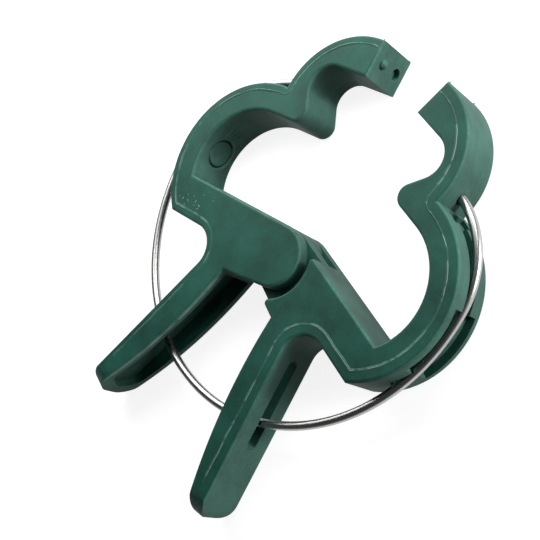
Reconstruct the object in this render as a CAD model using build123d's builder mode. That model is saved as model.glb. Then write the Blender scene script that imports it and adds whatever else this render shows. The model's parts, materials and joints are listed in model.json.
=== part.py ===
import os
from math import atan2, cos, degrees, radians, sin, sqrt, tan

from build123d import *

# Orchid clip: two moulded jaws on one hinge, pressed together by a sprung steel ring.
# The clip lies on its back face. Z is the hinge axis, Y points to the jaw tips, and the origin is on the
# hinge axis at the back face. All lengths are millimetres, all angles degrees.
# The two jaws are one moulding, the second turned over. It is drawn in the half frame: shut, with the
# closing plane at x = 0, the jaw at x < 0 and the hinge at the origin.

# Whole clip
clip_thickness = 8.0
rest_opening_angle = 21.6
closed_gap = 0.2
edge_round = 0.45
fillet_share = 0.9

# Hinge: two lugs on each jaw, which lie between those of the other jaw, with a boss and a socket for it
lug_radius = 4.6
lug_clearance = 0.15
swing_clearance = 1.6
horn_round = 0.6
boss_radius = 1.7
boss_height = 1.2
boss_clearance = 0.06
socket_end_clearance = 0.1

# Big lobe, which goes round the stake
big_lobe_offset = 12.75
big_lobe_height = 8.6
big_lobe_bore = 9.65
big_lobe_wall = 4.35

# Small lobe, which goes round the stem, with the seat inside it
small_lobe_offset = 1.2
small_lobe_height = 22.4
small_lobe_radius = 11.3
seat_offset = 5.5
seat_rise = 2.35
seat_radius = 3.25
cusp_angle = 28.0
cusp_round = 1.85

# Peg and hole that line up the two tips
peg_radius = 0.75
peg_clearance = 0.12
peg_spread = 3.6

# Finger lever, a channel open towards the other lever
arm_underside = 1.6
lug_underside_angle = 6.6
lever_root = 10.33
lever_angle = 22.1
lever_reach = 31.0
lever_inner_root = 7.1
lever_tip_width = 2.4
lever_bow = 1.3
lever_fillet = 3.6
lever_tip_outer_round = 1.7
lever_tip_inner_round = 0.5
lever_flange = 1.2
lever_web = 1.8
lever_end_wall = 2.2
pocket_roof = 0.5
slot_width = 2.0
slot_top = 7.4
slot_bottom = 20.4

# Sprung ring of round wire and the groove, relief and holes that take it
wire_diameter = 1.3
wire_lift = 0.5
bow_angle = 5.0
end_bend_shift = 2.1
ring_slip = 1.5
ring_rise = 0.8
wire_end_depth = 2.2
wire_hole_clearance = 0.2
groove_width = 2.2
groove_depth = 1.9
groove_margin_angle = 4.0
groove_end_angle = 207.0
relief_width = 5.6
relief_depth = 1.2
relief_start_angle = 150.0
relief_end_angle = 192.0
notch_pocket_width = 4.6
notch_pocket_depth = 0.6
notch_pocket_angle = 8.0

# Ejector mark on the inner wall of the big lobe
ejector_radius = 2.5
ejector_depth = 0.5
ejector_angle = 175.0

half_opening = rest_opening_angle / 2
big_outer = big_lobe_bore + big_lobe_wall
swing_radius = lug_radius + swing_clearance
wire_radius = wire_diameter / 2
wire_hole_radius = wire_radius + wire_hole_clearance
lug_pitch = clip_thickness / 4
low_lug_bottom = lug_pitch + lug_clearance / 2
low_lug_top = 2 * lug_pitch - lug_clearance / 2
high_lug_bottom = 3 * lug_pitch + lug_clearance / 2
pocket_radius = clip_thickness / 2 - lever_flange
seat_height = small_lobe_height + seat_rise
lever_length = (lever_reach - arm_underside) / cos(radians(lever_angle))
tip_round_room = fillet_share * (lever_tip_width - lever_tip_inner_round)

# Places in the half frame
big_centre = Vector(-big_lobe_offset, big_lobe_height)
small_centre = Vector(-small_lobe_offset, small_lobe_height)
seat_centre = Vector(-seat_offset, seat_height)
tip_x = -closed_gap / 2
tip_outer_y = small_lobe_height + sqrt(small_lobe_radius**2 - (small_lobe_offset + tip_x) ** 2)
tip_inner = Vector(tip_x, seat_height + seat_radius)
tip_outer = Vector(tip_x, tip_outer_y)
tip_middle_y = (tip_inner.Y + tip_outer.Y) / 2
lever_way = Vector(-sin(radians(lever_angle)), -cos(radians(lever_angle)))
lever_inward = Vector(cos(radians(lever_angle)), -sin(radians(lever_angle)))
lever_start = Vector(-lever_root, -arm_underside)
lever_tip = lever_start + lever_way * lever_length
lever_end = lever_tip + lever_inward * lever_tip_width
corner_run = sqrt(big_outer**2 - (big_lobe_height + arm_underside) ** 2)
outer_corner = Vector(-big_lobe_offset - corner_run, -arm_underside)
bore_run = sqrt(big_lobe_bore**2 - (big_lobe_height - lug_radius) ** 2)
bore_corner = Vector(-big_lobe_offset - bore_run, lug_radius)
bore_top = big_centre + Vector(0, big_lobe_bore)


def direction(way):
    # The angle of a vector from +X.
    return degrees(atan2(way.Y, way.X))


def on_circle(centre, radius, angle):
    # The point of a circle in the direction of an angle from +X.
    return centre + Vector(radius * cos(radians(angle)), radius * sin(radians(angle)))


def circles_cross(first, first_radius, second, second_radius):
    # Where two circles meet, on the left of the line from the first centre to the second.
    gap = second - first
    along = (gap.length**2 + first_radius**2 - second_radius**2) / (2 * gap.length)
    across = sqrt(first_radius**2 - along**2)
    forward = gap.normalized()
    return first + forward * along + forward.rotate(Axis.Z, 90) * across


lug_foot = on_circle(Vector(0, 0), lug_radius, lug_underside_angle - 90)
underside_way = on_circle(Vector(0, 0), -1, lug_underside_angle)
lever_corner = lug_foot + underside_way * ((lug_foot.X + lever_inner_root) / cos(radians(lug_underside_angle)))
horn_run = sqrt(swing_radius**2 - lug_radius**2)
horns = (Vector(-horn_run, lug_radius), lug_foot + underside_way * horn_run)
notch = circles_cross(big_centre, big_outer, small_centre, small_lobe_radius)
notch_direction = direction(notch - big_centre)
seat_end = on_circle(seat_centre, seat_radius, 180 + cusp_angle)
cusp_drop = seat_end.Y - bore_top.Y
cusp = Vector(seat_end.X + cusp_drop * tan(radians(cusp_angle)), bore_top.Y)
cusp_side = cusp_drop / cos(radians(cusp_angle))
cusp_room = cusp_side * tan(radians((90 - cusp_angle) / 2))

# The half frame turned open, for the left jaw from the back face up, for the right jaw turned over
open_cos = cos(radians(half_opening))
open_sin = sin(radians(half_opening))
left_half = Plane(origin=(0, 0, 0), x_dir=(open_cos, open_sin, 0), z_dir=(0, 0, 1))
right_half = Plane(origin=(0, 0, clip_thickness), x_dir=(-open_cos, open_sin, 0), z_dir=(0, 0, -1))

# The even ring, from the open right jaw: a wide bow that closes in on each big lobe at bow_angle, where the
# wire sits in the groove, and two tighter ends that run to the holes in the small lobes
open_big = right_half.from_local_coords(big_centre)
open_big = Vector(open_big.X, open_big.Y)
open_small = right_half.from_local_coords(small_centre)
open_small = Vector(open_small.X, open_small.Y)
even_centre = Vector(0, open_big.Y - open_big.X * tan(radians(bow_angle)))
bow_radius = (open_big - even_centre).length + big_outer + wire_lift
bend_centre = on_circle(open_big, -end_bend_shift, bow_angle)
bend_radius = big_outer + wire_lift + end_bend_shift
hole_mouth = circles_cross(open_small, small_lobe_radius, bend_centre, bend_radius)
mouth_direction = direction(hole_mouth - bend_centre)
end_direction = mouth_direction + degrees(wire_end_depth / bend_radius)
wire_end = on_circle(bend_centre, bend_radius, end_direction)

# The ring as it lies: its bow has slipped to the left, deep into the right jaw's groove, and a little up
bow_centre = even_centre + Vector(-ring_slip, ring_rise, clip_thickness / 2)
bow_bottom = bow_centre - Vector(0, bow_radius)


def arc_about(centre, start, end):
    # An arc of less than half a circle from start to end.
    middle = ((start - centre) + (end - centre)).normalized() * (start - centre).length
    ThreePointArc(start, centre + middle, end)


def add_ring_side(side):
    # The bow's half on one side, and the bend that leaves it and runs straight into the hole in the small lobe.
    mouth = Vector(side * hole_mouth.X, hole_mouth.Y, clip_thickness / 2)
    mouth_way = on_circle(Vector(0, 0), 1, mouth_direction)
    outward = Vector(side * mouth_way.X, mouth_way.Y)
    reach = mouth - bow_centre
    radius = (bow_radius**2 - reach.length**2) / (2 * (bow_radius - reach.dot(outward)))
    centre = mouth - outward * radius
    joint = bow_centre + (centre - bow_centre).normalized() * bow_radius
    end = centre + (outward * radius).rotate(Axis.Z, side * degrees(wire_end_depth / radius))
    arc_about(bow_centre, bow_bottom, joint)
    arc_about(centre, joint, end)


def round_corner(point, radius):
    fillet(vertices().sort_by_distance(point)[0], radius=radius)


def add_layer(bottom, top, cut_back):
    # One layer of the jaw, with a round lug or cut back from the hinge to let the other jaw's lug swing.
    with BuildSketch(Plane.XY.offset(bottom)) as outline:
        with BuildLine():
            Line(tip_inner, tip_outer)
            arc_about(small_centre, tip_outer, notch)
            arc_about(big_centre, notch, outer_corner)
            Polyline(outer_corner, lever_start, lever_tip, lever_end)
            SagittaArc(lever_end, lever_corner, -lever_bow)
            Line(lever_corner, lug_foot)
            ThreePointArc(lug_foot, (lug_radius, 0), (0, lug_radius))
            Line((0, lug_radius), bore_corner)
            arc_about(big_centre, bore_corner, bore_top)
            Polyline(bore_top, cusp, seat_end)
            arc_about(seat_centre, seat_end, seat_centre + Vector(0, seat_radius))
            Line(seat_centre + Vector(0, seat_radius), tip_inner)
        make_face()
        round_corner(cusp, min(cusp_round, fillet_share * cusp_room))
        round_corner(lever_start, lever_fillet)
        round_corner(lever_tip, min(lever_tip_outer_round, tip_round_room))
        round_corner(lever_end, lever_tip_inner_round)
        if cut_back:
            Circle(swing_radius, mode=Mode.SUBTRACT)
            for horn in horns:
                round_corner(horn, horn_round)
    extrude(outline.sketch, amount=top - bottom)


def add_blank():
    # The four layers of the jaw, from the back face to the front face, with eased edges on both faces.
    add_layer(0, low_lug_bottom, True)
    add_layer(low_lug_bottom, low_lug_top, False)
    add_layer(low_lug_top, high_lug_bottom, True)
    add_layer(high_lug_bottom, clip_thickness, False)
    faces_edges = edges().group_by(Axis.Z)
    fillet(faces_edges[0] + faces_edges[-1], radius=edge_round)


def add_pivot():
    # A boss behind the lower lug, and behind the upper lug a blind socket for the other jaw's boss.
    with BuildSketch(Plane.XY.offset(low_lug_bottom - boss_height)) as boss:
        Circle(boss_radius)
    extrude(boss.sketch, amount=boss_height)
    with BuildSketch(Plane.XY.offset(high_lug_bottom)) as socket:
        Circle(boss_radius + boss_clearance)
    socket_depth = boss_height - lug_clearance + socket_end_clearance
    extrude(socket.sketch, amount=socket_depth, mode=Mode.SUBTRACT)


def cut_lobe_band(depth, width, start, end):
    # A band cut into the big lobe's outer wall, in mid thickness, between two directions.
    floor = big_outer - depth
    over = big_outer + groove_depth
    with BuildSketch(Plane.XY.offset((clip_thickness - width) / 2)) as band:
        with BuildLine():
            arc_about(big_centre, on_circle(big_centre, floor, start), on_circle(big_centre, floor, end))
            Line(on_circle(big_centre, floor, end), on_circle(big_centre, over, end))
            arc_about(big_centre, on_circle(big_centre, over, end), on_circle(big_centre, over, start))
            Line(on_circle(big_centre, over, start), on_circle(big_centre, floor, start))
        make_face()
    extrude(band.sketch, amount=width, mode=Mode.SUBTRACT)


def cut_wire_seat():
    start = notch_direction + groove_margin_angle
    cut_lobe_band(groove_depth, groove_width, start, groove_end_angle)
    cut_lobe_band(relief_depth, relief_width, relief_start_angle, relief_end_angle)
    cut_lobe_band(notch_pocket_depth, notch_pocket_width, start, start + notch_pocket_angle)


def cut_wire_hole():
    # The blind hole that takes the end of the wire, along the wire's own direction there.
    end_way = on_circle(Vector(0, 0), 1, mouth_direction + 90)
    floor = wire_end + end_way * wire_hole_clearance + Vector(0, 0, clip_thickness / 2)
    hole_floor = right_half.to_local_coords(floor)
    hole_way = right_half.to_local_coords(floor - end_way) - hole_floor
    with BuildSketch(Plane(origin=hole_floor, z_dir=hole_way)) as hole:
        Circle(wire_hole_radius)
    extrude(hole.sketch, amount=2 * wire_end_depth, mode=Mode.SUBTRACT)


def lever_plane(depth):
    # A plane along the lever at a depth from its outer face: X from its root to its tip, Z inward.
    origin = lever_start + lever_inward * depth + Vector(0, 0, clip_thickness / 2)
    return Plane(origin=origin, x_dir=lever_way, z_dir=lever_inward)


def round_lever_end():
    # The end of the lever, rounded over its whole width.
    with BuildSketch(lever_plane(0)) as corners:
        with Locations((lever_length, 0)):
            Rectangle(clip_thickness, 2 * clip_thickness)
        with Locations((lever_length - clip_thickness / 2, 0)):
            Circle(clip_thickness / 2, mode=Mode.SUBTRACT)
    extrude(corners.sketch, amount=lever_root, both=True, mode=Mode.SUBTRACT)


def cut_lever():
    # The channel behind the lever's web, round at its end, and the slot through the web for the wire.
    pocket_start = (lever_corner - Vector(0, pocket_roof) - lever_start).dot(lever_way)
    pocket_end = lever_length - lever_end_wall - pocket_radius
    with BuildSketch(lever_plane(lever_web)) as pocket:
        with Locations(((pocket_start + pocket_end) / 2, 0)):
            Rectangle(pocket_end - pocket_start, 2 * pocket_radius)
        with Locations((pocket_end, 0)):
            Circle(pocket_radius)
    extrude(pocket.sketch, amount=lever_root, mode=Mode.SUBTRACT)
    slot_run = ((slot_top + slot_bottom) / 2 - arm_underside) / cos(radians(lever_angle))
    with BuildSketch(lever_plane(0)) as slot:
        with Locations((slot_run, 0)):
            SlotOverall((slot_bottom - slot_top) / cos(radians(lever_angle)), slot_width)
    extrude(slot.sketch, amount=2 * lever_web, both=True, mode=Mode.SUBTRACT)


def shape_tip():
    # A domed peg nearer one face and a hole nearer the other, so that the two tips key together.
    middle = Vector(tip_x, tip_middle_y, clip_thickness / 2)
    shift = Vector(0, 0, peg_spread / 2)
    with Locations(middle + shift):
        Sphere(peg_radius)
    with BuildSketch(Plane(origin=middle - shift, z_dir=(1, 0, 0))) as hole:
        Circle(peg_radius + peg_clearance)
    extrude(hole.sketch, amount=-peg_radius - peg_clearance, mode=Mode.SUBTRACT)


def cut_ejector_mark():
    # A flat round mark pressed a little into the curved inner wall.
    out = on_circle(Vector(0, 0), 1, ejector_angle)
    floor = big_centre + out * (big_lobe_bore + ejector_depth) + Vector(0, 0, clip_thickness / 2)
    with BuildSketch(Plane(origin=floor, z_dir=out)) as mark:
        Circle(ejector_radius)
    extrude(mark.sketch, amount=-ejector_radius, mode=Mode.SUBTRACT)


def export_jaw(half, name):
    # A copy of the jaw, turned from the half frame to its place on the open clip.
    placed = half.location * jaw.part
    placed.label = name
    export_step(placed, f"parts/{name}.step")


os.makedirs("parts", exist_ok=True)

# The jaw, one moulding for both sides
with BuildPart() as jaw:
    add_blank()
    add_pivot()
    cut_wire_seat()
    cut_wire_hole()
    round_lever_end()
    cut_lever()
    shape_tip()
    cut_ejector_mark()
export_jaw(left_half, "left_jaw")
export_jaw(right_half, "right_jaw")

# Ring spring: one round wire, open at the top, its ends in the two small lobes
with BuildPart() as ring_spring:
    with BuildLine() as wire_path:
        for side in (-1, 1):
            add_ring_side(side)
    wire_line = wire_path.wires()[0]
    with BuildSketch(Plane(origin=wire_line @ 0, z_dir=wire_line % 0)):
        Circle(wire_radius)
    sweep(path=wire_line)
ring_spring.part.label = "ring_spring"
export_step(ring_spring.part, "parts/ring_spring.step")

# The ring's least gap to itself, between points that lie at least a quarter of the wire apart
gap_steps = 120
wire_points = [wire_line @ (step / gap_steps) for step in range(gap_steps + 1)]
least_distance = min(
    (wire_points[far] - wire_points[near]).length
    for near in range(gap_steps + 1)
    for far in range(near + gap_steps // 4, gap_steps + 1)
)
print("least gap of the ring to itself, mm:", round(least_distance - wire_diameter, 2))
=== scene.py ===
import json
from math import atan2, cos, degrees, radians, sin, sqrt

import bmesh
import bpy
import numpy as np
from mathutils import Matrix, Vector


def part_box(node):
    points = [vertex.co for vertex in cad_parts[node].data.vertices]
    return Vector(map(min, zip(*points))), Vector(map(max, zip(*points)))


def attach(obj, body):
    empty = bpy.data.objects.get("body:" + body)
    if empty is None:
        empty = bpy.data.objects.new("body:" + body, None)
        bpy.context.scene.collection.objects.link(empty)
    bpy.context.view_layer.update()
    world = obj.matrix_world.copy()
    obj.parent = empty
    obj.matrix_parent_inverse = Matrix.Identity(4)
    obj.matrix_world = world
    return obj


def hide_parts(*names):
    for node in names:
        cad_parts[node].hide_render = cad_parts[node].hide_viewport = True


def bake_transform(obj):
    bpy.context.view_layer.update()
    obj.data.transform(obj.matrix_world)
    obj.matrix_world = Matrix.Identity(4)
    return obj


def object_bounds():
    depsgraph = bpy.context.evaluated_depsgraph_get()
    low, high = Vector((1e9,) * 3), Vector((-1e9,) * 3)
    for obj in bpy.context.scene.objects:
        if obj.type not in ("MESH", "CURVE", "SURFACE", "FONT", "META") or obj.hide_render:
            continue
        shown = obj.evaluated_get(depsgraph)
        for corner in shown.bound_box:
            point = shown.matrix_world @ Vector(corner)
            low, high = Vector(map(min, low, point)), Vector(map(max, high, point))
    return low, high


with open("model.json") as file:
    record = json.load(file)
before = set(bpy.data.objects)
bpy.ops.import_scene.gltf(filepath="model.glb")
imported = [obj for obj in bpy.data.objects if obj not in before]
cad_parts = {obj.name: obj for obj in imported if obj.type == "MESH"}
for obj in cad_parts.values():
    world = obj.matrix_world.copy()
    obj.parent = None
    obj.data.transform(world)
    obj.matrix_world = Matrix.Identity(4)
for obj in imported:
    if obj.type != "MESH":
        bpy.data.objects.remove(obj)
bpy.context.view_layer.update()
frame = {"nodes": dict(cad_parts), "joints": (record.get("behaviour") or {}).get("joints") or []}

# Orchid clip: two green mouldings on one hinge and a drawn steel ring that presses them shut
mm = 0.001
jawLow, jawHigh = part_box("left_jaw")
thickness = (jawHigh.z - jawLow.z) / mm
jawHinge = next(joint for joint in frame["joints"] if joint["name"] == "jaw_hinge")
halfOpening = -jawHinge["range_deg"][0] / 2  # each jaw stands this far from shut
print("frame loaded, thickness", round(thickness, 2), "mm, half opening", halfOpening, "degrees")

# Lines of one shut jaw in millimetres and degrees, with the hinge at the origin and the jaw at x < 0
jawLines = {
    "bigCentre": (-12.75, 8.6), "bigRadius": 14.0, "boreRadius": 9.65,
    "smallCentre": (-1.2, 22.4), "smallRadius": 11.3,
    "underside": 1.6, "lugRadius": 4.6, "lugAngle": 6.6,
    "leverRoot": 10.33, "leverAngle": 22.1, "leverReach": 31.0, "leverFillet": 3.6,
    "leverInnerRoot": 7.1, "leverTipWidth": 2.4, "leverBow": 1.3,
    "edgeRound": 0.45,
}


def unit(angle):
    turn = np.radians(angle)
    return np.stack([np.cos(turn), np.sin(turn)], -1)


def angleOf(way):
    return degrees(atan2(way[1], way[0]))


def sideSign(side):
    return 1 if side == "left" else -1


def circlesCross(first, firstRadius, second, secondRadius):
    # left-hand crossing of two circles
    gap = second - first
    span = np.linalg.norm(gap)
    along = (span**2 + firstRadius**2 - secondRadius**2) / (2 * span)
    across = sqrt(firstRadius**2 - along**2)
    return first + gap / span * along + np.array([-gap[1], gap[0]]) / span * across


def turned(points, angle):
    turn = radians(angle)
    x = points[..., 0] * cos(turn) - points[..., 1] * sin(turn)
    y = points[..., 0] * sin(turn) + points[..., 1] * cos(turn)
    return np.stack([x, y], -1)


def opened(points, side):
    # shut half to the open clip: a turn about the hinge, and a mirror for the right jaw
    return turned(points, halfOpening) * (sideSign(side), 1)


def leverLines():
    # root, way along the lever, way inward, length along the outer face
    angle = radians(jawLines["leverAngle"])
    root = np.array([-jawLines["leverRoot"], -jawLines["underside"]])
    way = np.array([-sin(angle), -cos(angle)])
    length = (jawLines["leverReach"] - jawLines["underside"]) / cos(angle)
    return root, way, np.array([-way[1], way[0]]), length


# Mesh making

def meshFrom(name, points, faces, smooth=True):
    mesh = bpy.data.meshes.new(name)
    mesh.from_pydata((np.asarray(points) * mm).tolist(), [], faces)
    mesh.update()
    mesh.polygons.foreach_set("use_smooth", np.full(len(mesh.polygons), smooth))
    piece = bpy.data.objects.new(name, mesh)
    bpy.context.scene.collection.objects.link(piece)
    return piece


def tubeFaces(steps, sides):
    # quads between neighbouring rings of a closed profile, and one cap at each end
    i, j = np.meshgrid(np.arange(steps - 1), np.arange(sides), indexing="ij")
    k = (j + 1) % sides
    quads = np.stack([i * sides + j, i * sides + k, (i + 1) * sides + k, (i + 1) * sides + j], -1)
    faces = quads.reshape(-1, 4).tolist()
    faces.append(list(range(sides))[::-1])
    faces.append(list(range((steps - 1) * sides, steps * sides)))
    return faces


def turnedOver(faces):
    return [face[::-1] for face in faces]


def shifted(faces, first):
    return [[first + index for index in face] for face in faces]


def readArray(items, field, width=1, kind=float):
    values = np.empty(len(items) * width, kind)
    items.foreach_get(field, values)
    return values.reshape(-1, width) if width > 1 else values


def addAttribute(piece, name, values):
    attribute = piece.data.attributes.new(name, "FLOAT", "POINT")
    attribute.data.foreach_set("value", np.asarray(values, np.float32).ravel())


def lengthAlong(path):
    return np.concatenate([[0], np.cumsum(np.linalg.norm(np.diff(path, axis=0), axis=1))])


def wander(length, spacing, seed):
    # smooth random values from -1 to 1, one knot each spacing, at every sample of length
    draw = np.random.default_rng(seed)
    knots = np.arange(0, length[-1] + 2 * spacing, spacing)
    values = draw.uniform(-1, 1, len(knots))
    place = length / spacing
    first = np.floor(place).astype(int)
    share = place - first
    share = share * share * (3 - 2 * share)
    return values[first] * (1 - share) + values[np.minimum(first + 1, len(knots) - 1)] * share


def wanderLayers(length, layers, seed):
    # sum of wandering lines, one for each pair of spacing and weight
    return sum(weight * wander(length, spacing, seed + k) for k, (spacing, weight) in enumerate(layers))


# Shader helpers

def newMaterial(name):
    material = bpy.data.materials.new(name)
    material.use_nodes = True
    nodes = material.node_tree.nodes
    return material, nodes, material.node_tree.links, nodes["Principled BSDF"]


def newGroup(name, inputs, outputs):
    group = bpy.data.node_groups.new(name, "ShaderNodeTree")
    kinds = {"value": "NodeSocketFloat", "colour": "NodeSocketColor"}
    for label, kind, default in inputs:
        socket = group.interface.new_socket(name=label, in_out="INPUT", socket_type=kinds[kind])
        socket.default_value = default
    for label, kind in outputs:
        group.interface.new_socket(name=label, in_out="OUTPUT", socket_type=kinds[kind])
    entry = group.nodes.new("NodeGroupInput")
    leave = group.nodes.new("NodeGroupOutput")
    return group, entry.outputs, leave.inputs


class Wiring:
    # short calls for the nodes that the groups and materials use
    def __init__(self, tree):
        self.nodes = tree.nodes
        self.links = tree.links

    def make(self, kind):
        return self.nodes.new(kind)

    def plug(self, socket, value):
        if isinstance(value, bpy.types.NodeSocket):
            self.links.new(value, socket)
        else:
            socket.default_value = value

    def math(self, operation, *values):
        node = self.make("ShaderNodeMath")
        node.operation = operation
        for socket, value in zip(node.inputs, values):
            self.plug(socket, value)
        return node.outputs[0]

    def add(self, first, second):
        return self.math("ADD", first, second)

    def times(self, first, second):
        return self.math("MULTIPLY", first, second)

    def less(self, value):
        return self.math("SUBTRACT", 1.0, value)

    def around(self, value, weight):
        # noise about its middle, times a weight
        return self.times(self.math("SUBTRACT", value, 0.5), weight)

    def ramp(self, value, low, high, start=0.0, end=1.0):
        node = self.make("ShaderNodeMapRange")
        node.interpolation_type = "SMOOTHSTEP"
        given = {"Value": value, "From Min": low, "From Max": high, "To Min": start, "To Max": end}
        for label, setting in given.items():
            self.plug(node.inputs[label], setting)
        return node.outputs["Result"]

    def noise(self, vector, scale, detail, roughness):
        node = self.make("ShaderNodeTexNoise")
        given = {"Vector": vector, "Scale": scale, "Detail": detail, "Roughness": roughness}
        for label, setting in given.items():
            self.plug(node.inputs[label], setting)
        return node.outputs["Fac"]

    def mix(self, share, first, second):
        node = self.make("ShaderNodeMix")
        node.data_type = "RGBA"
        node.clamp_factor = True
        self.plug(node.inputs["Factor"], share)
        self.plug(node.inputs[6], first)
        self.plug(node.inputs[7], second)
        return node.outputs[2]

    def stretch(self, vector, scale):
        node = self.make("ShaderNodeMapping")
        node.inputs["Scale"].default_value = scale
        self.plug(node.inputs["Vector"], vector)
        return node.outputs["Vector"]

    def bump(self, height, strength, depth):
        node = self.make("ShaderNodeBump")
        node.inputs["Strength"].default_value = strength
        node.inputs["Distance"].default_value = depth
        self.plug(node.inputs["Height"], height)
        return node.outputs["Normal"]


def srgb(red, green, blue):
    # screen values 0 to 255 to the linear colour of a shader socket
    value = np.array([red, green, blue]) / 255
    linear = np.where(value <= 0.04045, value / 12.92, ((value + 0.055) / 1.055) ** 2.4)
    return (*linear.tolist(), 1.0)


# Moulded surface: which way a surface faces tells face, wall and rounded edge apart, because every face of
# the mouldings is square to the hinge and every wall runs along it. Noises are scale, detail and roughness
greenFinish = {
    # The wall colour, lighter and greyer than the face, is partly the matte tooled walls and partly painted sheen
    "face": srgb(29, 75, 64), "wall": srgb(57, 89, 80), "edge": srgb(62, 122, 101), "flash": srgb(165, 190, 176),
    # The edge colour and its share are partly edge wear and partly a painted highlight on the rounded edges
    "edgeWearAndHighlight": 0.25, "mottle": 0.6, "specular": 0.15, "bumpDepth": 0.00006, "bumpStrength": 0.35,
}
greenGrain = {
    "faceLean": (0.80, 0.985), "wallLean": (0.05, 0.45),
    "cloud": (170.0, 3.0, 0.55), "patch": (620.0, 3.0, 0.6), "grain": (3000.0, 3.0, 0.7), "edgePatch": (1500.0, 4.0, 0.65),
    "streak": (1.0, 3.0, 0.6), "streakStretch": (60.0, 60.0, 2600.0),
    "streakLimits": (0.35, 0.75), "streakShare": 0.35, "edgePatchLimits": (0.30, 0.62), "leastWearAndHighlight": 0.35,
    "cloudTone": 2.1, "patchTone": 0.7, "grainTone": 0.9,
    "wallRough": 0.60, "faceRough": 0.52, "patchRough": 0.22,
    "cloudHeight": 0.9, "grainHeight": 0.5, "streakHeight": 0.35,
}
surfaceInputs = (
    ("Face Colour", "colour", "face"), ("Wall Colour And Sheen", "colour", "wall"), ("Edge Colour", "colour", "edge"),
    ("Edge Wear And Highlight", "value", "edgeWearAndHighlight"), ("Mottle", "value", "mottle"),
)


def mouldedSurfaceGroup():
    group, entry, leave = newGroup(
        "mouldedSurface",
        [(label, kind, greenFinish[key]) for label, kind, key in surfaceInputs],
        [("Colour", "colour"), ("Roughness", "value"), ("Height", "value")],
    )
    w = Wiring(group)
    place = w.make("ShaderNodeTexCoord").outputs["Object"]
    normal = w.make("ShaderNodeSeparateXYZ")
    w.plug(normal.inputs[0], w.make("ShaderNodeNewGeometry").outputs["Normal"])
    lean = w.math("ABSOLUTE", normal.outputs["Z"])
    face = w.ramp(lean, *greenGrain["faceLean"])
    wall = w.ramp(lean, *greenGrain["wallLean"], 1.0, 0.0)
    edge = w.times(w.less(face), w.less(wall))

    cloud = w.noise(place, *greenGrain["cloud"])
    patch = w.noise(place, *greenGrain["patch"])
    grain = w.noise(place, *greenGrain["grain"])
    edgePatch = w.noise(place, *greenGrain["edgePatch"])
    streak = w.noise(w.stretch(place, greenGrain["streakStretch"]), *greenGrain["streak"])

    drawn = w.times(w.ramp(streak, *greenGrain["streakLimits"]), greenGrain["streakShare"])
    # Walls take the wall colour: partly their matte tooled finish, partly painted sheen
    wallToneAndSheen = w.mix(drawn, entry["Wall Colour And Sheen"], entry["Face Colour"])
    base = w.mix(face, wallToneAndSheen, entry["Face Colour"])
    # Rounded edges take the lighter edge colour in patches: partly edge wear, partly painted highlight
    wearAndHighlightPatches = w.ramp(edgePatch, *greenGrain["edgePatchLimits"], greenGrain["leastWearAndHighlight"], 1.0)
    base = w.mix(w.times(w.times(edge, entry["Edge Wear And Highlight"]), wearAndHighlightPatches), base, entry["Edge Colour"])
    fine = w.add(w.around(patch, greenGrain["patchTone"]), w.around(grain, greenGrain["grainTone"]))
    shade = w.add(w.around(cloud, greenGrain["cloudTone"]), fine)
    toned = w.make("ShaderNodeVectorMath")
    toned.operation = "SCALE"
    w.plug(toned.inputs[0], base)
    w.plug(toned.inputs["Scale"], w.add(1.0, w.times(shade, entry["Mottle"])))
    w.plug(leave["Colour"], toned.outputs[0])

    rough = w.ramp(face, 0.0, 1.0, greenGrain["wallRough"], greenGrain["faceRough"])
    w.plug(leave["Roughness"], w.add(rough, w.around(patch, greenGrain["patchRough"])))
    lines = w.times(w.times(streak, wall), greenGrain["streakHeight"])
    slow = w.add(w.times(cloud, greenGrain["cloudHeight"]), lines)
    w.plug(leave["Height"], w.add(w.times(grain, greenGrain["grainHeight"]), slow))
    return group


def mouldedGreen():
    material, nodes, links, shader = newMaterial("mouldedGreen")
    w = Wiring(material.node_tree)
    surface = nodes.new("ShaderNodeGroup")
    surface.node_tree = mouldedSurfaceGroup()
    for label, _, key in surfaceInputs:
        surface.inputs[label].default_value = greenFinish[key]
    flash = nodes.new("ShaderNodeAttribute")
    flash.attribute_name = "flash"
    colour = w.mix(flash.outputs["Fac"], surface.outputs["Colour"], greenFinish["flash"])
    links.new(colour, shader.inputs["Base Color"])
    links.new(surface.outputs["Roughness"], shader.inputs["Roughness"])
    shader.inputs["Specular IOR Level"].default_value = greenFinish["specular"]
    normal = w.bump(surface.outputs["Height"], greenFinish["bumpStrength"], greenFinish["bumpDepth"])
    links.new(normal, shader.inputs["Normal"])
    return material


# Drawn steel: streaks along the wire, rougher where the die has rubbed; the darker streaks are partly die marks and
# partly painted dark reflection
steelFinish = {
    "bright": (0.48, 0.48, 0.47, 1), "drawn": (0.27, 0.27, 0.27, 1), "drawnAndDarkReflectionLimits": (0.42, 0.72),
    "streak": (1.0, 4.0, 0.65), "streakStretch": (6.0, 34.0, 1.0),
    "spot": (1.0, 3.0, 0.6), "spotStretch": (160.0, 14.0, 1.0),
    "rough": 0.24, "roughSpread": 0.16, "bumpDepth": 0.00002, "bumpStrength": 0.06,
}


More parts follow.
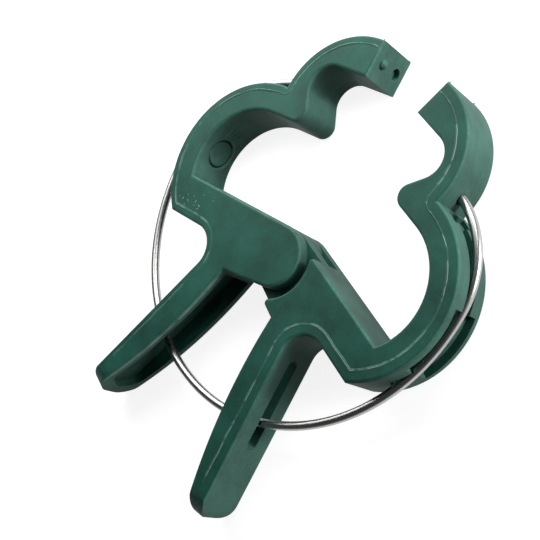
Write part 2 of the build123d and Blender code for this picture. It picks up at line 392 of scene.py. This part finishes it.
def drawnSteel():
    material, nodes, links, shader = newMaterial("drawnSteel")
    w = Wiring(material.node_tree)
    uv = nodes.new("ShaderNodeUVMap")
    uv.uv_map = "wireUV"
    streak = w.noise(w.stretch(uv.outputs["UV"], steelFinish["streakStretch"]), *steelFinish["streak"])
    spot = w.noise(w.stretch(uv.outputs["UV"], steelFinish["spotStretch"]), *steelFinish["spot"])
    # darker streaks: partly die marks, partly painted dark reflection
    colour = w.mix(w.ramp(streak, *steelFinish["drawnAndDarkReflectionLimits"]), steelFinish["bright"], steelFinish["drawn"])
    links.new(colour, shader.inputs["Base Color"])
    rough = w.math("MULTIPLY_ADD", w.times(streak, spot), steelFinish["roughSpread"], steelFinish["rough"])
    links.new(rough, shader.inputs["Roughness"])
    shader.inputs["Metallic"].default_value = 1.0
    normal = w.bump(streak, steelFinish["bumpStrength"], steelFinish["bumpDepth"])
    links.new(normal, shader.inputs["Normal"])
    return material


green = mouldedGreen()
steel = drawnSteel()
print("materials made")

# Mouldings: copies of the solids with their points joined. On the rounded edges of both broad faces the shading
# follows the round itself: the upward share of the normal is the height above the start of the round over its radius
moulding = {"joinWithin": 1e-6, "sharpAngle": 40.0, "sameWay": 0.6, "slack": 0.001, "flat": 0.9999, "least": 1e-6}


def leverPlace(points, side):
    # distance along the lever from its root, for points of the open clip
    root, way = leverLines()[:2]
    return (turned(points[:, :2] * (sideSign(side), 1), -halfOpening) - root) @ way


def edgeShading(mesh, side):
    points = readArray(mesh.vertices, "co", 3) / mm
    corner = readArray(mesh.loops, "vertex_index", kind=int)
    normals = readArray(mesh.corner_normals, "vector", 3)
    sizes = readArray(mesh.polygons, "loop_total", kind=int)
    faceWay = np.repeat(readArray(mesh.polygons, "normal", 3), sizes, axis=0)

    fromMiddle = points[corner, 2] - thickness / 2
    rise = (np.abs(fromMiddle) - thickness / 2) / jawLines["edgeRound"] + 1
    upward = np.clip(rise, 0, 1)
    span = np.linalg.norm(normals[:, :2], axis=1, keepdims=True)
    sideways = normals[:, :2] / np.maximum(span, moulding["least"])
    rounded = np.column_stack([sideways * np.sqrt(1 - upward**2)[:, None], upward * np.sign(fromMiddle)])
    onRound = (rise > -moulding["slack"]) & (np.sum(rounded * faceWay, axis=1) > moulding["sameWay"])
    onRound &= leverPlace(points, side)[corner] < leverLines()[3] - thickness / 2
    normals[onRound] = rounded[onRound]
    flat = np.abs(faceWay[:, 2]) > moulding["flat"]
    normals[flat] = faceWay[flat]
    mesh.normals_split_custom_set(normals.tolist())


def makeMoulding(side):
    source = frame["nodes"][f"{side}_jaw"]
    mesh = source.data.copy()
    mesh.transform(source.matrix_world)
    mesh.attributes.remove(mesh.attributes["custom_normal"])
    shape = bmesh.new()
    shape.from_mesh(mesh)
    bmesh.ops.remove_doubles(shape, verts=shape.verts, dist=moulding["joinWithin"])
    shape.to_mesh(mesh)
    shape.free()
    mesh.polygons.foreach_set("use_smooth", np.full(len(mesh.polygons), True))
    mesh.set_sharp_from_angle(angle=radians(moulding["sharpAngle"]))
    edgeShading(mesh, side)
    mesh.materials.clear()
    mesh.materials.append(green)
    piece = bpy.data.objects.new(f"{side}_moulding", mesh)
    bpy.context.scene.collection.objects.link(piece)
    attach(piece, f"{side}_side")
    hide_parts(f"{side}_jaw")


for side in ("left", "right"):
    makeMoulding(side)
print("mouldings made")

# Lever edges: an even quarter round laid over the bowed inner edge of each lever on both broad faces,
# point = edge centre + radius * (sin t * inward + cos t * up), and no higher than the round end of the lever.
# The round is worn pale towards its inner side
leverEdge = {
    "lift": 0.008, "under": 12.0, "steps": 140, "across": 11, "tipMargin": 2.1,
    "paleness": 0.45, "paleTilt": (35, 80), "wornLevel": 0.6, "wornLayers": ((2.7, 0.5), (0.6, 0.3)),
}


def leverBow():
    # centre, radius and end angles of the bowed inner edge
    root, way, inward, length = leverLines()
    lugWay = unit(jawLines["lugAngle"])
    lugFoot = jawLines["lugRadius"] * unit(jawLines["lugAngle"] - 90)
    top = lugFoot - lugWay * (lugFoot[0] + jawLines["leverInnerRoot"]) / lugWay[0]
    low = root + way * length + inward * jawLines["leverTipWidth"]
    chord = np.linalg.norm(top - low)
    bow = jawLines["leverBow"]
    radius = (chord**2 / 4 + bow**2) / (2 * bow)
    across = np.array([-(top - low)[1], (top - low)[0]]) / chord
    across *= np.sign(across @ inward)
    centre = (top + low) / 2 - across * (radius - bow)
    return centre, radius, angleOf(top - centre), angleOf(low - centre)


def makeLeverEdge(side, front, seed):
    root, way, _, length = leverLines()
    centre, bowRadius, topAngle, lowAngle = leverBow()
    angles = np.linspace(topAngle, lowAngle, leverEdge["steps"])
    places = centre + bowRadius * unit(angles)
    angles = angles[(places - root) @ way < length - leverEdge["tipMargin"]]
    reach = jawLines["edgeRound"] + leverEdge["lift"]
    columns = leverEdge["across"]
    tilt = np.linspace(-leverEdge["under"], 90 + leverEdge["under"], columns)
    radii = bowRadius - jawLines["edgeRound"] + reach * np.sin(np.radians(tilt))
    flat = centre + unit(angles)[:, None, :] * radii[None, :, None]
    rise = thickness / 2 - jawLines["edgeRound"] + reach * np.cos(np.radians(tilt))
    past = np.clip((flat - root) @ way - length + thickness / 2, 0, None)
    rise = np.minimum(rise, np.sqrt((thickness / 2) ** 2 - past**2) + leverEdge["lift"] * (past == 0))
    height = thickness / 2 + rise * (1 if front else -1)
    points = np.concatenate([opened(flat, side), height[..., None]], -1)
    i, j = np.meshgrid(np.arange(len(angles) - 1), np.arange(columns - 1), indexing="ij")
    quads = np.stack([i * columns + j, i * columns + j + 1, (i + 1) * columns + j + 1, (i + 1) * columns + j], -1)
    faces = quads.reshape(-1, 4).tolist()
    if (side == "left") == front:
        faces = turnedOver(faces)
    piece = meshFrom(f"{side}_lever_edge_{'front' if front else 'back'}", points.reshape(-1, 3), faces)
    run = np.radians(np.abs(angles - angles[0])) * bowRadius
    worn = np.clip(leverEdge["wornLevel"] + wanderLayers(run, leverEdge["wornLayers"], seed), 0, 1)
    tiltShare = np.interp(tilt, leverEdge["paleTilt"], (0, 1))
    addAttribute(piece, "flash", leverEdge["paleness"] * worn[:, None] * tiltShare[None, :])
    piece.data.materials.append(green)
    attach(piece, f"{side}_side")


for side, seeds in (("left", (53, 59)), ("right", (61, 67))):
    makeLeverEdge(side, True, seeds[0])
    makeLeverEdge(side, False, seeds[1])
print("lever edges made")

# Steel ring: a round tube, point = path + radius * (cos t * outward + sin t * up). The path is a wide bow, which has
# slipped to the left, and on each side a bend that touches the bow from inside and runs on into its hole
ringLines = {
    "radius": 0.65, "lift": 0.5, "bowAngle": 5.0, "endShift": 2.1, "slip": 1.5, "rise": 0.8, "endDepth": 2.2,
    "sides": 40, "step": 0.35, "uvLength": 100,
}


def ringPath():
    bigOpen = opened(np.array(jawLines["bigCentre"]), "right")
    smallOpen = opened(np.array(jawLines["smallCentre"]), "right")
    away = jawLines["bigRadius"] + ringLines["lift"]
    bowWay = unit(ringLines["bowAngle"])
    evenCentre = np.array([0.0, bigOpen[1] - bigOpen[0] * bowWay[1] / bowWay[0]])
    bowRadius = np.linalg.norm(bigOpen - evenCentre) + away
    evenBend = bigOpen - bowWay * ringLines["endShift"]
    mouth = circlesCross(smallOpen, jawLines["smallRadius"], evenBend, away + ringLines["endShift"])
    mouthWay = (mouth - evenBend) / np.linalg.norm(mouth - evenBend)
    centre = evenCentre + np.array([-ringLines["slip"], ringLines["rise"]])
    halves = []
    for flip in (np.array([-1, 1]), np.array([1, 1])):
        hole, outward = mouth * flip, mouthWay * flip
        reach = hole - centre
        bendRadius = (bowRadius**2 - reach @ reach) / (2 * (bowRadius - reach @ outward))
        bendCentre = hole - outward * bendRadius
        leave = angleOf((bendCentre - centre) * flip)
        endAngle = angleOf(mouthWay) + degrees(ringLines["endDepth"] / bendRadius)
        bowAngles = np.arange(-90, leave, degrees(ringLines["step"] / bowRadius))
        bendSteps = round(radians(endAngle - leave) * bendRadius / ringLines["step"])
        bendAngles = np.linspace(leave, endAngle, bendSteps)
        bow, bend = unit(bowAngles) * flip, unit(bendAngles) * flip
        path = np.concatenate([centre + bowRadius * bow, bendCentre + bendRadius * bend])
        halves.append((path, np.concatenate([bow, bend])))
    (leftPath, leftOut), (rightPath, rightOut) = halves
    return np.concatenate([leftPath[:0:-1], rightPath]), np.concatenate([leftOut[:0:-1], rightOut])


def makeRing():
    path, outward = ringPath()
    sides = ringLines["sides"]
    around = np.linspace(0, 2 * np.pi, sides, endpoint=False)
    reach = ringLines["radius"] * np.cos(around)
    rise = ringLines["radius"] * np.sin(around) + thickness / 2
    flat = path[:, None, :] + outward[:, None, :] * reach[None, :, None]
    points = np.concatenate([flat, np.broadcast_to(rise[None, :, None], (*flat.shape[:2], 1))], -1)
    piece = meshFrom("ring_spring_wire", points.reshape(-1, 3), turnedOver(tubeFaces(len(path), sides)))
    run = lengthAlong(path) / ringLines["uvLength"]
    corner = readArray(piece.data.loops, "vertex_index", kind=int)
    turn = np.abs(np.arange(sides) / sides * 2 - 1)
    uv = np.stack(np.broadcast_arrays(run[:, None], turn[None, :]), -1).reshape(-1, 2)
    layer = piece.data.uv_layers.new(name="wireUV")
    layer.data.foreach_set("uv", uv[corner].astype(np.float32).ravel())
    piece.data.materials.append(steel)
    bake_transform(piece)
    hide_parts("ring_spring")


makeRing()
print("steel ring made")

# Flash line: a fine raised lip on each broad face, a little inside the outer outline, where the mould halves met.
# The lip comes and goes: it stands where a slow random line is above a level, and is palest where it stands highest.
# Its profile is given by places across it, outward first, with the rise and the paleness at each
flashLine = {
    "step": 0.12, "leastSteps": 4, "tipMargin": 0.5, "leverMargin": 4.7, "smooth": 7,
    "sway": 0.05, "swayLayers": ((3.1, 1.0), (1.1, 0.7), (0.45, 0.35)),
    "standLayers": ((2.3, 1.0), (0.5, 0.6)), "standSoft": 0.5, "lowest": 0.25, "faintest": 0.2,
    "startRun": 0.6, "endRun": 1.5,
    "across": (0.08, 0.045, 0.015, -0.02, -0.06, -0.35, -0.35, 0.08),
    "rise": (-0.01, 0.035, 0.055, 0.05, 0.025, -0.005, -0.06, -0.06),
    "pale": (0.0, 0.12, 0.9, 0.5, 0.05, 0.0, 0.0, 0.0),
}
flashSides = {
    "open": {"inset": 1.15, "leverInset": 1.05, "level": -0.1, "paleness": 0.7},
    "crisp": {"inset": 1.6, "leverInset": 1.6, "level": -0.3, "paleness": 0.85},
}


def flashSteps(length):
    return max(flashLine["leastSteps"], round(length / flashLine["step"]))


def flashArc(centre, radius, start, end, side):
    ways = unit(np.linspace(start, end, flashSteps(abs(radians(end - start)) * radius)))
    return centre + radius * ways, side * ways


def flashStraight(start, end, outward):
    count = flashSteps(np.linalg.norm(end - start))
    share = np.linspace(0, 1, count)[:, None]
    return start * (1 - share) + end * share, np.broadcast_to(outward, (count, 2))


def eased(values):
    # running mean along a line, with its ends held
    kernel = np.hanning(flashLine["smooth"] + 2)[1:-1]
    kernel /= kernel.sum()
    pad = len(kernel) // 2
    wide = np.pad(values, ((pad, pad), (0, 0)), mode="edge")
    return np.stack([np.convolve(wide[:, k], kernel, "valid") for k in range(2)], -1)


def flashPath(inset, leverInset):
    # offset of the outer outline: small lobe, round the notch, big lobe, underside, fillet, lever
    big, small = np.array(jawLines["bigCentre"]), np.array(jawLines["smallCentre"])
    bigReach, smallReach = jawLines["bigRadius"], jawLines["smallRadius"]
    notch = circlesCross(big, bigReach, small, smallReach)
    tipAngle = degrees(np.arccos((-small[0] - flashLine["tipMargin"]) / (smallReach - inset)))
    underY = inset - jawLines["underside"]
    cornerAngle = 180 - degrees(np.arcsin((underY - big[1]) / (bigReach - inset)))
    corner = big + (bigReach - inset) * unit(cornerAngle)
    root, leverWay, leverIn, length = leverLines()
    fillet = jawLines["leverFillet"]
    run = fillet * (1 - leverIn[1]) / -leverWay[1]
    hub = root + leverWay * run - leverIn * fillet
    leverTop = hub + leverIn * (fillet + leverInset)
    leverLow = root + leverWay * (length - flashLine["leverMargin"]) + leverIn * leverInset
    parts = [
        flashArc(small, smallReach - inset, tipAngle, angleOf(notch - small), 1),
        flashArc(notch, inset, angleOf(small - notch), angleOf(big - notch), -1),
        flashArc(big, bigReach - inset, angleOf(notch - big), cornerAngle, 1),
        flashStraight(corner, np.array([hub[0], underY]), np.array([0.0, -1.0])),
        flashArc(hub, fillet + (inset + leverInset) / 2, 90, -jawLines["leverAngle"], -1),
        flashStraight(leverTop, leverLow, -leverIn),
    ]
    points = eased(np.concatenate([part[0] for part in parts]))
    outward = eased(np.concatenate([part[1] for part in parts]))
    return points, outward / np.linalg.norm(outward, axis=1, keepdims=True)


def makeFlashLine(side, front, inset, leverInset, level, paleness, seed):
    path, outward = flashPath(inset, leverInset)
    run = lengthAlong(path)
    sway = flashLine["sway"] * wanderLayers(run, flashLine["swayLayers"], seed)
    path = path + outward * sway[:, None]
    stand = wanderLayers(run, flashLine["standLayers"], seed + len(flashLine["swayLayers"]))
    there = np.clip((stand - level) / flashLine["standSoft"], 0, 1)
    ends = np.clip(run / flashLine["startRun"], 0, 1) * np.clip((run[-1] - run) / flashLine["endRun"], 0, 1)
    tall = (flashLine["lowest"] + (1 - flashLine["lowest"]) * there) * ends
    across, rise = np.array(flashLine["across"]), np.array(flashLine["rise"])
    flat = opened(path[:, None, :] + outward[:, None, :] * across[None, :, None], side)
    lift = np.where(rise > 0, rise * tall[:, None], rise)
    height = thickness + lift if front else -lift
    points = np.concatenate([flat, height[..., None]], -1)
    faces = tubeFaces(len(path), len(across))
    if (side == "left") == front:
        faces = turnedOver(faces)
    piece = meshFrom(f"{side}_flash_{'front' if front else 'back'}", points.reshape(-1, 3), faces)
    pale = paleness * (flashLine["faintest"] + (1 - flashLine["faintest"]) * there)
    addAttribute(piece, "flash", pale[:, None] * np.array(flashLine["pale"])[None, :])
    piece.data.materials.append(green)
    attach(piece, f"{side}_side")


makeFlashLine("left", True, **flashSides["open"], seed=11)
makeFlashLine("right", True, **flashSides["crisp"], seed=23)
makeFlashLine("left", False, **flashSides["crisp"], seed=37)
makeFlashLine("right", False, **flashSides["open"], seed=41)
print("flash lines made")

# Tip burrs: a small spike on each outer corner of both tips, a cone from its foot to its point
tipBurr = {
    "tip": (-0.4, 33.4), "lean": -0.1, "spread": 0.15, "inset": 0.35, "foot": 0.3, "reach": 0.5, "radius": 0.32,
    "point": 0.05, "paleness": 0.2, "sides": 10,
}


def makeTipBurr(side, front):
    around = np.linspace(0, 2 * np.pi, tipBurr["sides"], endpoint=False)
    way = np.array([tipBurr["lean"], 1.0, tipBurr["spread"]])
    way /= np.linalg.norm(way)
    across = np.array([1.0, -tipBurr["lean"], 0.0]) / sqrt(1 + tipBurr["lean"] ** 2)
    ring = np.cos(around)[:, None] * across + np.sin(around)[:, None] * np.cross(way, across)
    corner = np.array([*tipBurr["tip"], thickness / 2 - tipBurr["inset"]])
    foot = corner - way * tipBurr["foot"] + ring * tipBurr["radius"]
    point = corner + way * tipBurr["reach"] + ring * tipBurr["point"]
    points = np.concatenate([foot, point])
    height = thickness / 2 + points[:, 2] * (1 if front else -1)
    points = np.column_stack([opened(points[:, :2], side), height])
    faces = tubeFaces(2, tipBurr["sides"])
    if (side == "left") != front:
        faces = turnedOver(faces)
    piece = meshFrom(f"{side}_tip_burr_{'front' if front else 'back'}", points, faces)
    addAttribute(piece, "flash", np.full(len(points), tipBurr["paleness"]))
    piece.data.materials.append(green)
    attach(piece, f"{side}_side")


for side in ("left", "right"):
    makeTipBurr(side, True)
    makeTipBurr(side, False)
print("tip burrs made")

# Ejector marks: in the round recess of each bore wall lies a dished pad, set off to one side, and a burr stands on
# the other side. Both are heights over the bore, point = bore centre + (bore radius - height) * way, at polar places
# r, t: pad height = -depth - tilt * r * sin t / pad - dish * (1 - (r / pad)^2), and
# burr height = high * sin(pi * share of its width) * -sin t, with ripples.
# Scratches run on along the bore: ridges with three corners, height = high * sin(pi * share of the length)
ejectorMark = {
    "angle": 175.0, "rings": 9, "sides": 72, "sunk": 0.03,
    "padRadius": 2.0, "padShift": 0.47, "padDepth": 0.24, "padTilt": 0.18, "padFoot": 0.9, "padStart": 0.05,
    "dish": 0.3, "chamfer": 0.07,
    "burrStart": 2.4, "burrWide": 0.6, "burrHigh": 0.24, "ripples": 7, "ripple": 0.2, "burrPaleness": 0.14,
    "scratches": (((-2.6, 1.25), (-4.9, 1.3)), ((-2.75, 0.6), (-5.4, 0.45)), ((-2.8, -0.05), (-4.9, -0.5)),
                  ((-2.65, -0.7), (-4.5, -1.4)), ((-1.3, -2.75), (-3.0, -3.0))),
    "scratchHalf": 0.1, "scratchHigh": 0.17, "scratchSteps": 9, "scratchPaleness": 0.25,
}


# Each part of a mark gives its places along and across the bore, its heights, its paleness and its faces

def ejectorPad(around):
    pad = ejectorMark["padRadius"]
    reach = np.linspace(ejectorMark["padStart"], pad - ejectorMark["chamfer"], ejectorMark["rings"])
    reach = np.append(reach, [pad, pad])[:, None]
    height = -ejectorMark["padDepth"] - ejectorMark["padTilt"] * reach * np.sin(around) / pad
    height = height - ejectorMark["dish"] * (1 - (reach / pad) ** 2)
    height[-2] -= ejectorMark["chamfer"]
    height[-1] = -ejectorMark["padFoot"]
    across = reach * np.sin(around) - ejectorMark["padShift"]
    return reach * np.cos(around), across, height, np.zeros(height.shape), tubeFaces(*height.shape)


def ejectorBurr(around):
    share = np.linspace(0, 1, ejectorMark["rings"])[:, None]
    uneven = 1 - ejectorMark["ripple"] + ejectorMark["ripple"] * np.cos(ejectorMark["ripples"] * around)
    stand = np.sin(np.pi * share) * np.clip(-np.sin(around), 0, 1) * uneven
    reach = ejectorMark["burrStart"] + ejectorMark["burrWide"] * share
    height = ejectorMark["burrHigh"] * stand - ejectorMark["sunk"]
    faces = tubeFaces(*height.shape)[:-2]
    return reach * np.cos(around), reach * np.sin(around), height, ejectorMark["burrPaleness"] * stand, faces


def ejectorScratch(start, end):
    start, end = np.array(start), np.array(end)
    share = np.linspace(0, 1, ejectorMark["scratchSteps"])[:, None]
    corners = np.array([-1, 0, 1])
    sideways = np.array([start[1] - end[1], end[0] - start[0]]) / np.linalg.norm(end - start)
    middle = start * (1 - share) + end * share
    place = middle[:, None, :] + ejectorMark["scratchHalf"] * corners[:, None] * sideways
    height = np.where(corners == 0, ejectorMark["scratchHigh"] * np.sin(np.pi * share), -ejectorMark["sunk"])
    pale = np.full(height.shape, ejectorMark["scratchPaleness"])
    return place[..., 0], place[..., 1], height, pale, tubeFaces(*height.shape)


def makeEjectorMark(side):
    around = np.linspace(0, 2 * np.pi, ejectorMark["sides"], endpoint=False)
    parts = [ejectorPad(around), ejectorBurr(around)]
    parts += [ejectorScratch(start, end) for start, end in ejectorMark["scratches"]]
    bore = jawLines["boreRadius"]
    points, pales, faces, first = [], [], [], 0
    for along, across, height, pale, partFaces in parts:
        ways = unit(ejectorMark["angle"] + np.degrees(along / bore))
        flat = opened(jawLines["bigCentre"] + (bore - height)[..., None] * ways, side)
        level = thickness / 2 + across * sideSign(side)
        points.append(np.concatenate([flat, level[..., None]], -1).reshape(-1, 3))
        pales.append(pale.ravel())
        faces += shifted(partFaces, first)
        first += pale.size
    piece = meshFrom(f"{side}_ejector_mark", np.concatenate(points), faces)
    addAttribute(piece, "flash", np.concatenate(pales))
    piece.data.materials.append(green)
    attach(piece, f"{side}_side")


for side in ("left", "right"):
    makeEjectorMark(side)
print("ejector marks made")

# Crumbs: small domes of plastic dust on the left arm's face, height = top * (1 - (r / radius)^2)
crumbs = {
    "count": 22, "middle": (-18.3, 1.7), "spread": (2.9, 0.85), "turn": 14.0, "radius": (0.05, 0.12), "flat": 0.5,
    "crown": 0.15, "sunk": 0.02, "uneven": 0.25, "paleness": 0.5, "rings": 4, "sides": 10, "seed": 5,
}


def makeCrumbs():
    rings, sides = crumbs["rings"], crumbs["sides"]
    draw = np.random.default_rng(crumbs["seed"])
    offsets = turned(draw.normal(0, 1, (crumbs["count"], 2)) * crumbs["spread"], crumbs["turn"])
    radii = draw.uniform(*crumbs["radius"], crumbs["count"])
    share = np.repeat(np.linspace(1, crumbs["crown"], rings), sides)
    ways = np.tile(unit(np.linspace(0, 360, sides, endpoint=False)), (rings, 1))
    domes, faces = [], []
    for number, (offset, radius) in enumerate(zip(offsets, radii)):
        uneven = 1 + crumbs["uneven"] * draw.uniform(-1, 1, sides)
        reach = radius * share * np.tile(uneven, rings)
        flat = crumbs["middle"] + offset + ways * reach[:, None]
        height = thickness - crumbs["sunk"] + (crumbs["sunk"] + radius * crumbs["flat"]) * (1 - share**2)
        domes.append(np.column_stack([opened(flat, "left"), height]))
        faces += shifted(tubeFaces(rings, sides), number * len(share))
    points = np.concatenate(domes)
    piece = meshFrom("left_crumbs", points, faces)
    addAttribute(piece, "flash", np.full(len(points), crumbs["paleness"]))
    piece.data.materials.append(green)
    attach(piece, "left_side")


makeCrumbs()
print("crumbs made")

# Floor, light and camera
studio = {
    "floorSize": 3.0, "floorGap": 0.00002, "floorGrey": 0.35, "floorGlow": 0.86,
    "floorRough": 0.9, "floorSpecular": 0.1,
    "horizonLevel": 0.24, "zenithLevel": 0.06, "horizonTop": 0.12, "zenithBottom": 0.42, "backdrop": 0.95,
}


def makeFloor():
    # white to look at, grey to the light that falls on it, so that it keeps a shadow
    half = studio["floorSize"] / 2
    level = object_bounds()[0].z - studio["floorGap"]
    corners = np.array([[-half, -half, level], [half, -half, level], [half, half, level], [-half, half, level]]) / mm
    floor = meshFrom("floor", corners, [[0, 1, 2, 3]], smooth=False)
    material, nodes, links, shader = newMaterial("paleFloor")
    shader.inputs["Base Color"].default_value = (studio["floorGrey"],) * 3 + (1,)
    shader.inputs["Roughness"].default_value = studio["floorRough"]
    shader.inputs["Specular IOR Level"].default_value = studio["floorSpecular"]
    rays = nodes.new("ShaderNodeLightPath").outputs
    w = Wiring(material.node_tree)
    mirrored = w.math("MAXIMUM", rays["Is Glossy Ray"], rays["Is Transmission Ray"])
    seen = w.math("MAXIMUM", rays["Is Camera Ray"], mirrored)
    shader.inputs["Emission Color"].default_value = (1, 1, 1, 1)
    links.new(w.times(seen, studio["floorGlow"]), shader.inputs["Emission Strength"])
    floor.data.materials.append(material)


def makeWorld():
    # pale at the horizon and dark overhead, with a white backdrop to look at
    world = bpy.data.worlds.new("studioWorld")
    bpy.context.scene.world = world
    world.use_nodes = True
    w = Wiring(world.node_tree)
    way = w.make("ShaderNodeSeparateXYZ")
    w.plug(way.inputs[0], w.make("ShaderNodeTexCoord").outputs["Generated"])
    level = w.ramp(way.outputs["Z"], studio["horizonTop"], studio["zenithBottom"],
                   studio["horizonLevel"], studio["zenithLevel"])
    seen = w.times(w.make("ShaderNodeLightPath").outputs["Is Camera Ray"], studio["backdrop"])
    background = world.node_tree.nodes["Background"].inputs
    w.plug(background["Strength"], w.math("MAXIMUM", level, seen))
    background["Color"].default_value = (1, 1, 1, 1)


# Softboxes: the way to each one from the clip, in degrees, its distance and its size
softboxes = {
    "left": {"around": 150, "above": 38, "away": 0.095, "size": 0.11, "watts": 0.142},
    "back": {"around": 92, "above": 38, "away": 0.11, "size": 0.06, "watts": 0.060},
    "low": {"around": 46, "above": 12, "away": 0.30, "size": 0.15, "watts": 0.5},
    "skim": {"around": 44, "above": 5, "away": 0.30, "size": 0.045, "watts": 0.6},
}


def makeSoftbox(name, around, above, away, size, watts):
    lamp = bpy.data.lights.new(name, "AREA")
    lamp.shape = "SQUARE"
    lamp.size = size
    lamp.energy = watts
    box = bpy.data.objects.new(name, lamp)
    flat = unit(around) * cos(radians(above))
    box.location = Vector((flat[0], flat[1], sin(radians(above)))) * away
    box.rotation_euler = box.location.to_track_quat("Z", "Y").to_euler()
    box.visible_camera = False
    bpy.context.scene.collection.objects.link(box)


# Camera: where it stands, what it aims at in the middle of the clip's thickness, and how far it is rolled
cameraView = {
    "place": (87.3, 23.4, 117.9), "aim": (-1.995, -2.748, 4.0), "roll": 36.08,
    "focalPixels": 1012.7, "imagePixels": 540, "sensor": 36, "clip": (0.005, 10),
}


def makeCamera():
    data = bpy.data.cameras.new("camera")
    data.sensor_width = cameraView["sensor"]
    data.lens = cameraView["focalPixels"] / cameraView["imagePixels"] * data.sensor_width
    data.clip_start, data.clip_end = cameraView["clip"]
    camera = bpy.data.objects.new("camera", data)
    place, aim = Vector(cameraView["place"]) * mm, Vector(cameraView["aim"]) * mm
    back = (place - aim).normalized()
    right = Vector((0, 1, 0)).cross(back).normalized()
    up = back.cross(right)
    turn = radians(cameraView["roll"])
    tilted = right * cos(turn) + up * sin(turn)
    axes = Matrix((tilted, back.cross(tilted), back)).transposed()
    camera.matrix_world = Matrix.Translation(place) @ axes.to_4x4()
    bpy.context.scene.collection.objects.link(camera)
    bpy.context.scene.camera = camera


makeFloor()
makeWorld()
for boxName, settings in softboxes.items():
    makeSoftbox(boxName, **settings)
makeCamera()
bpy.context.scene.view_settings.view_transform = "Standard"
print("floor, light and camera made")
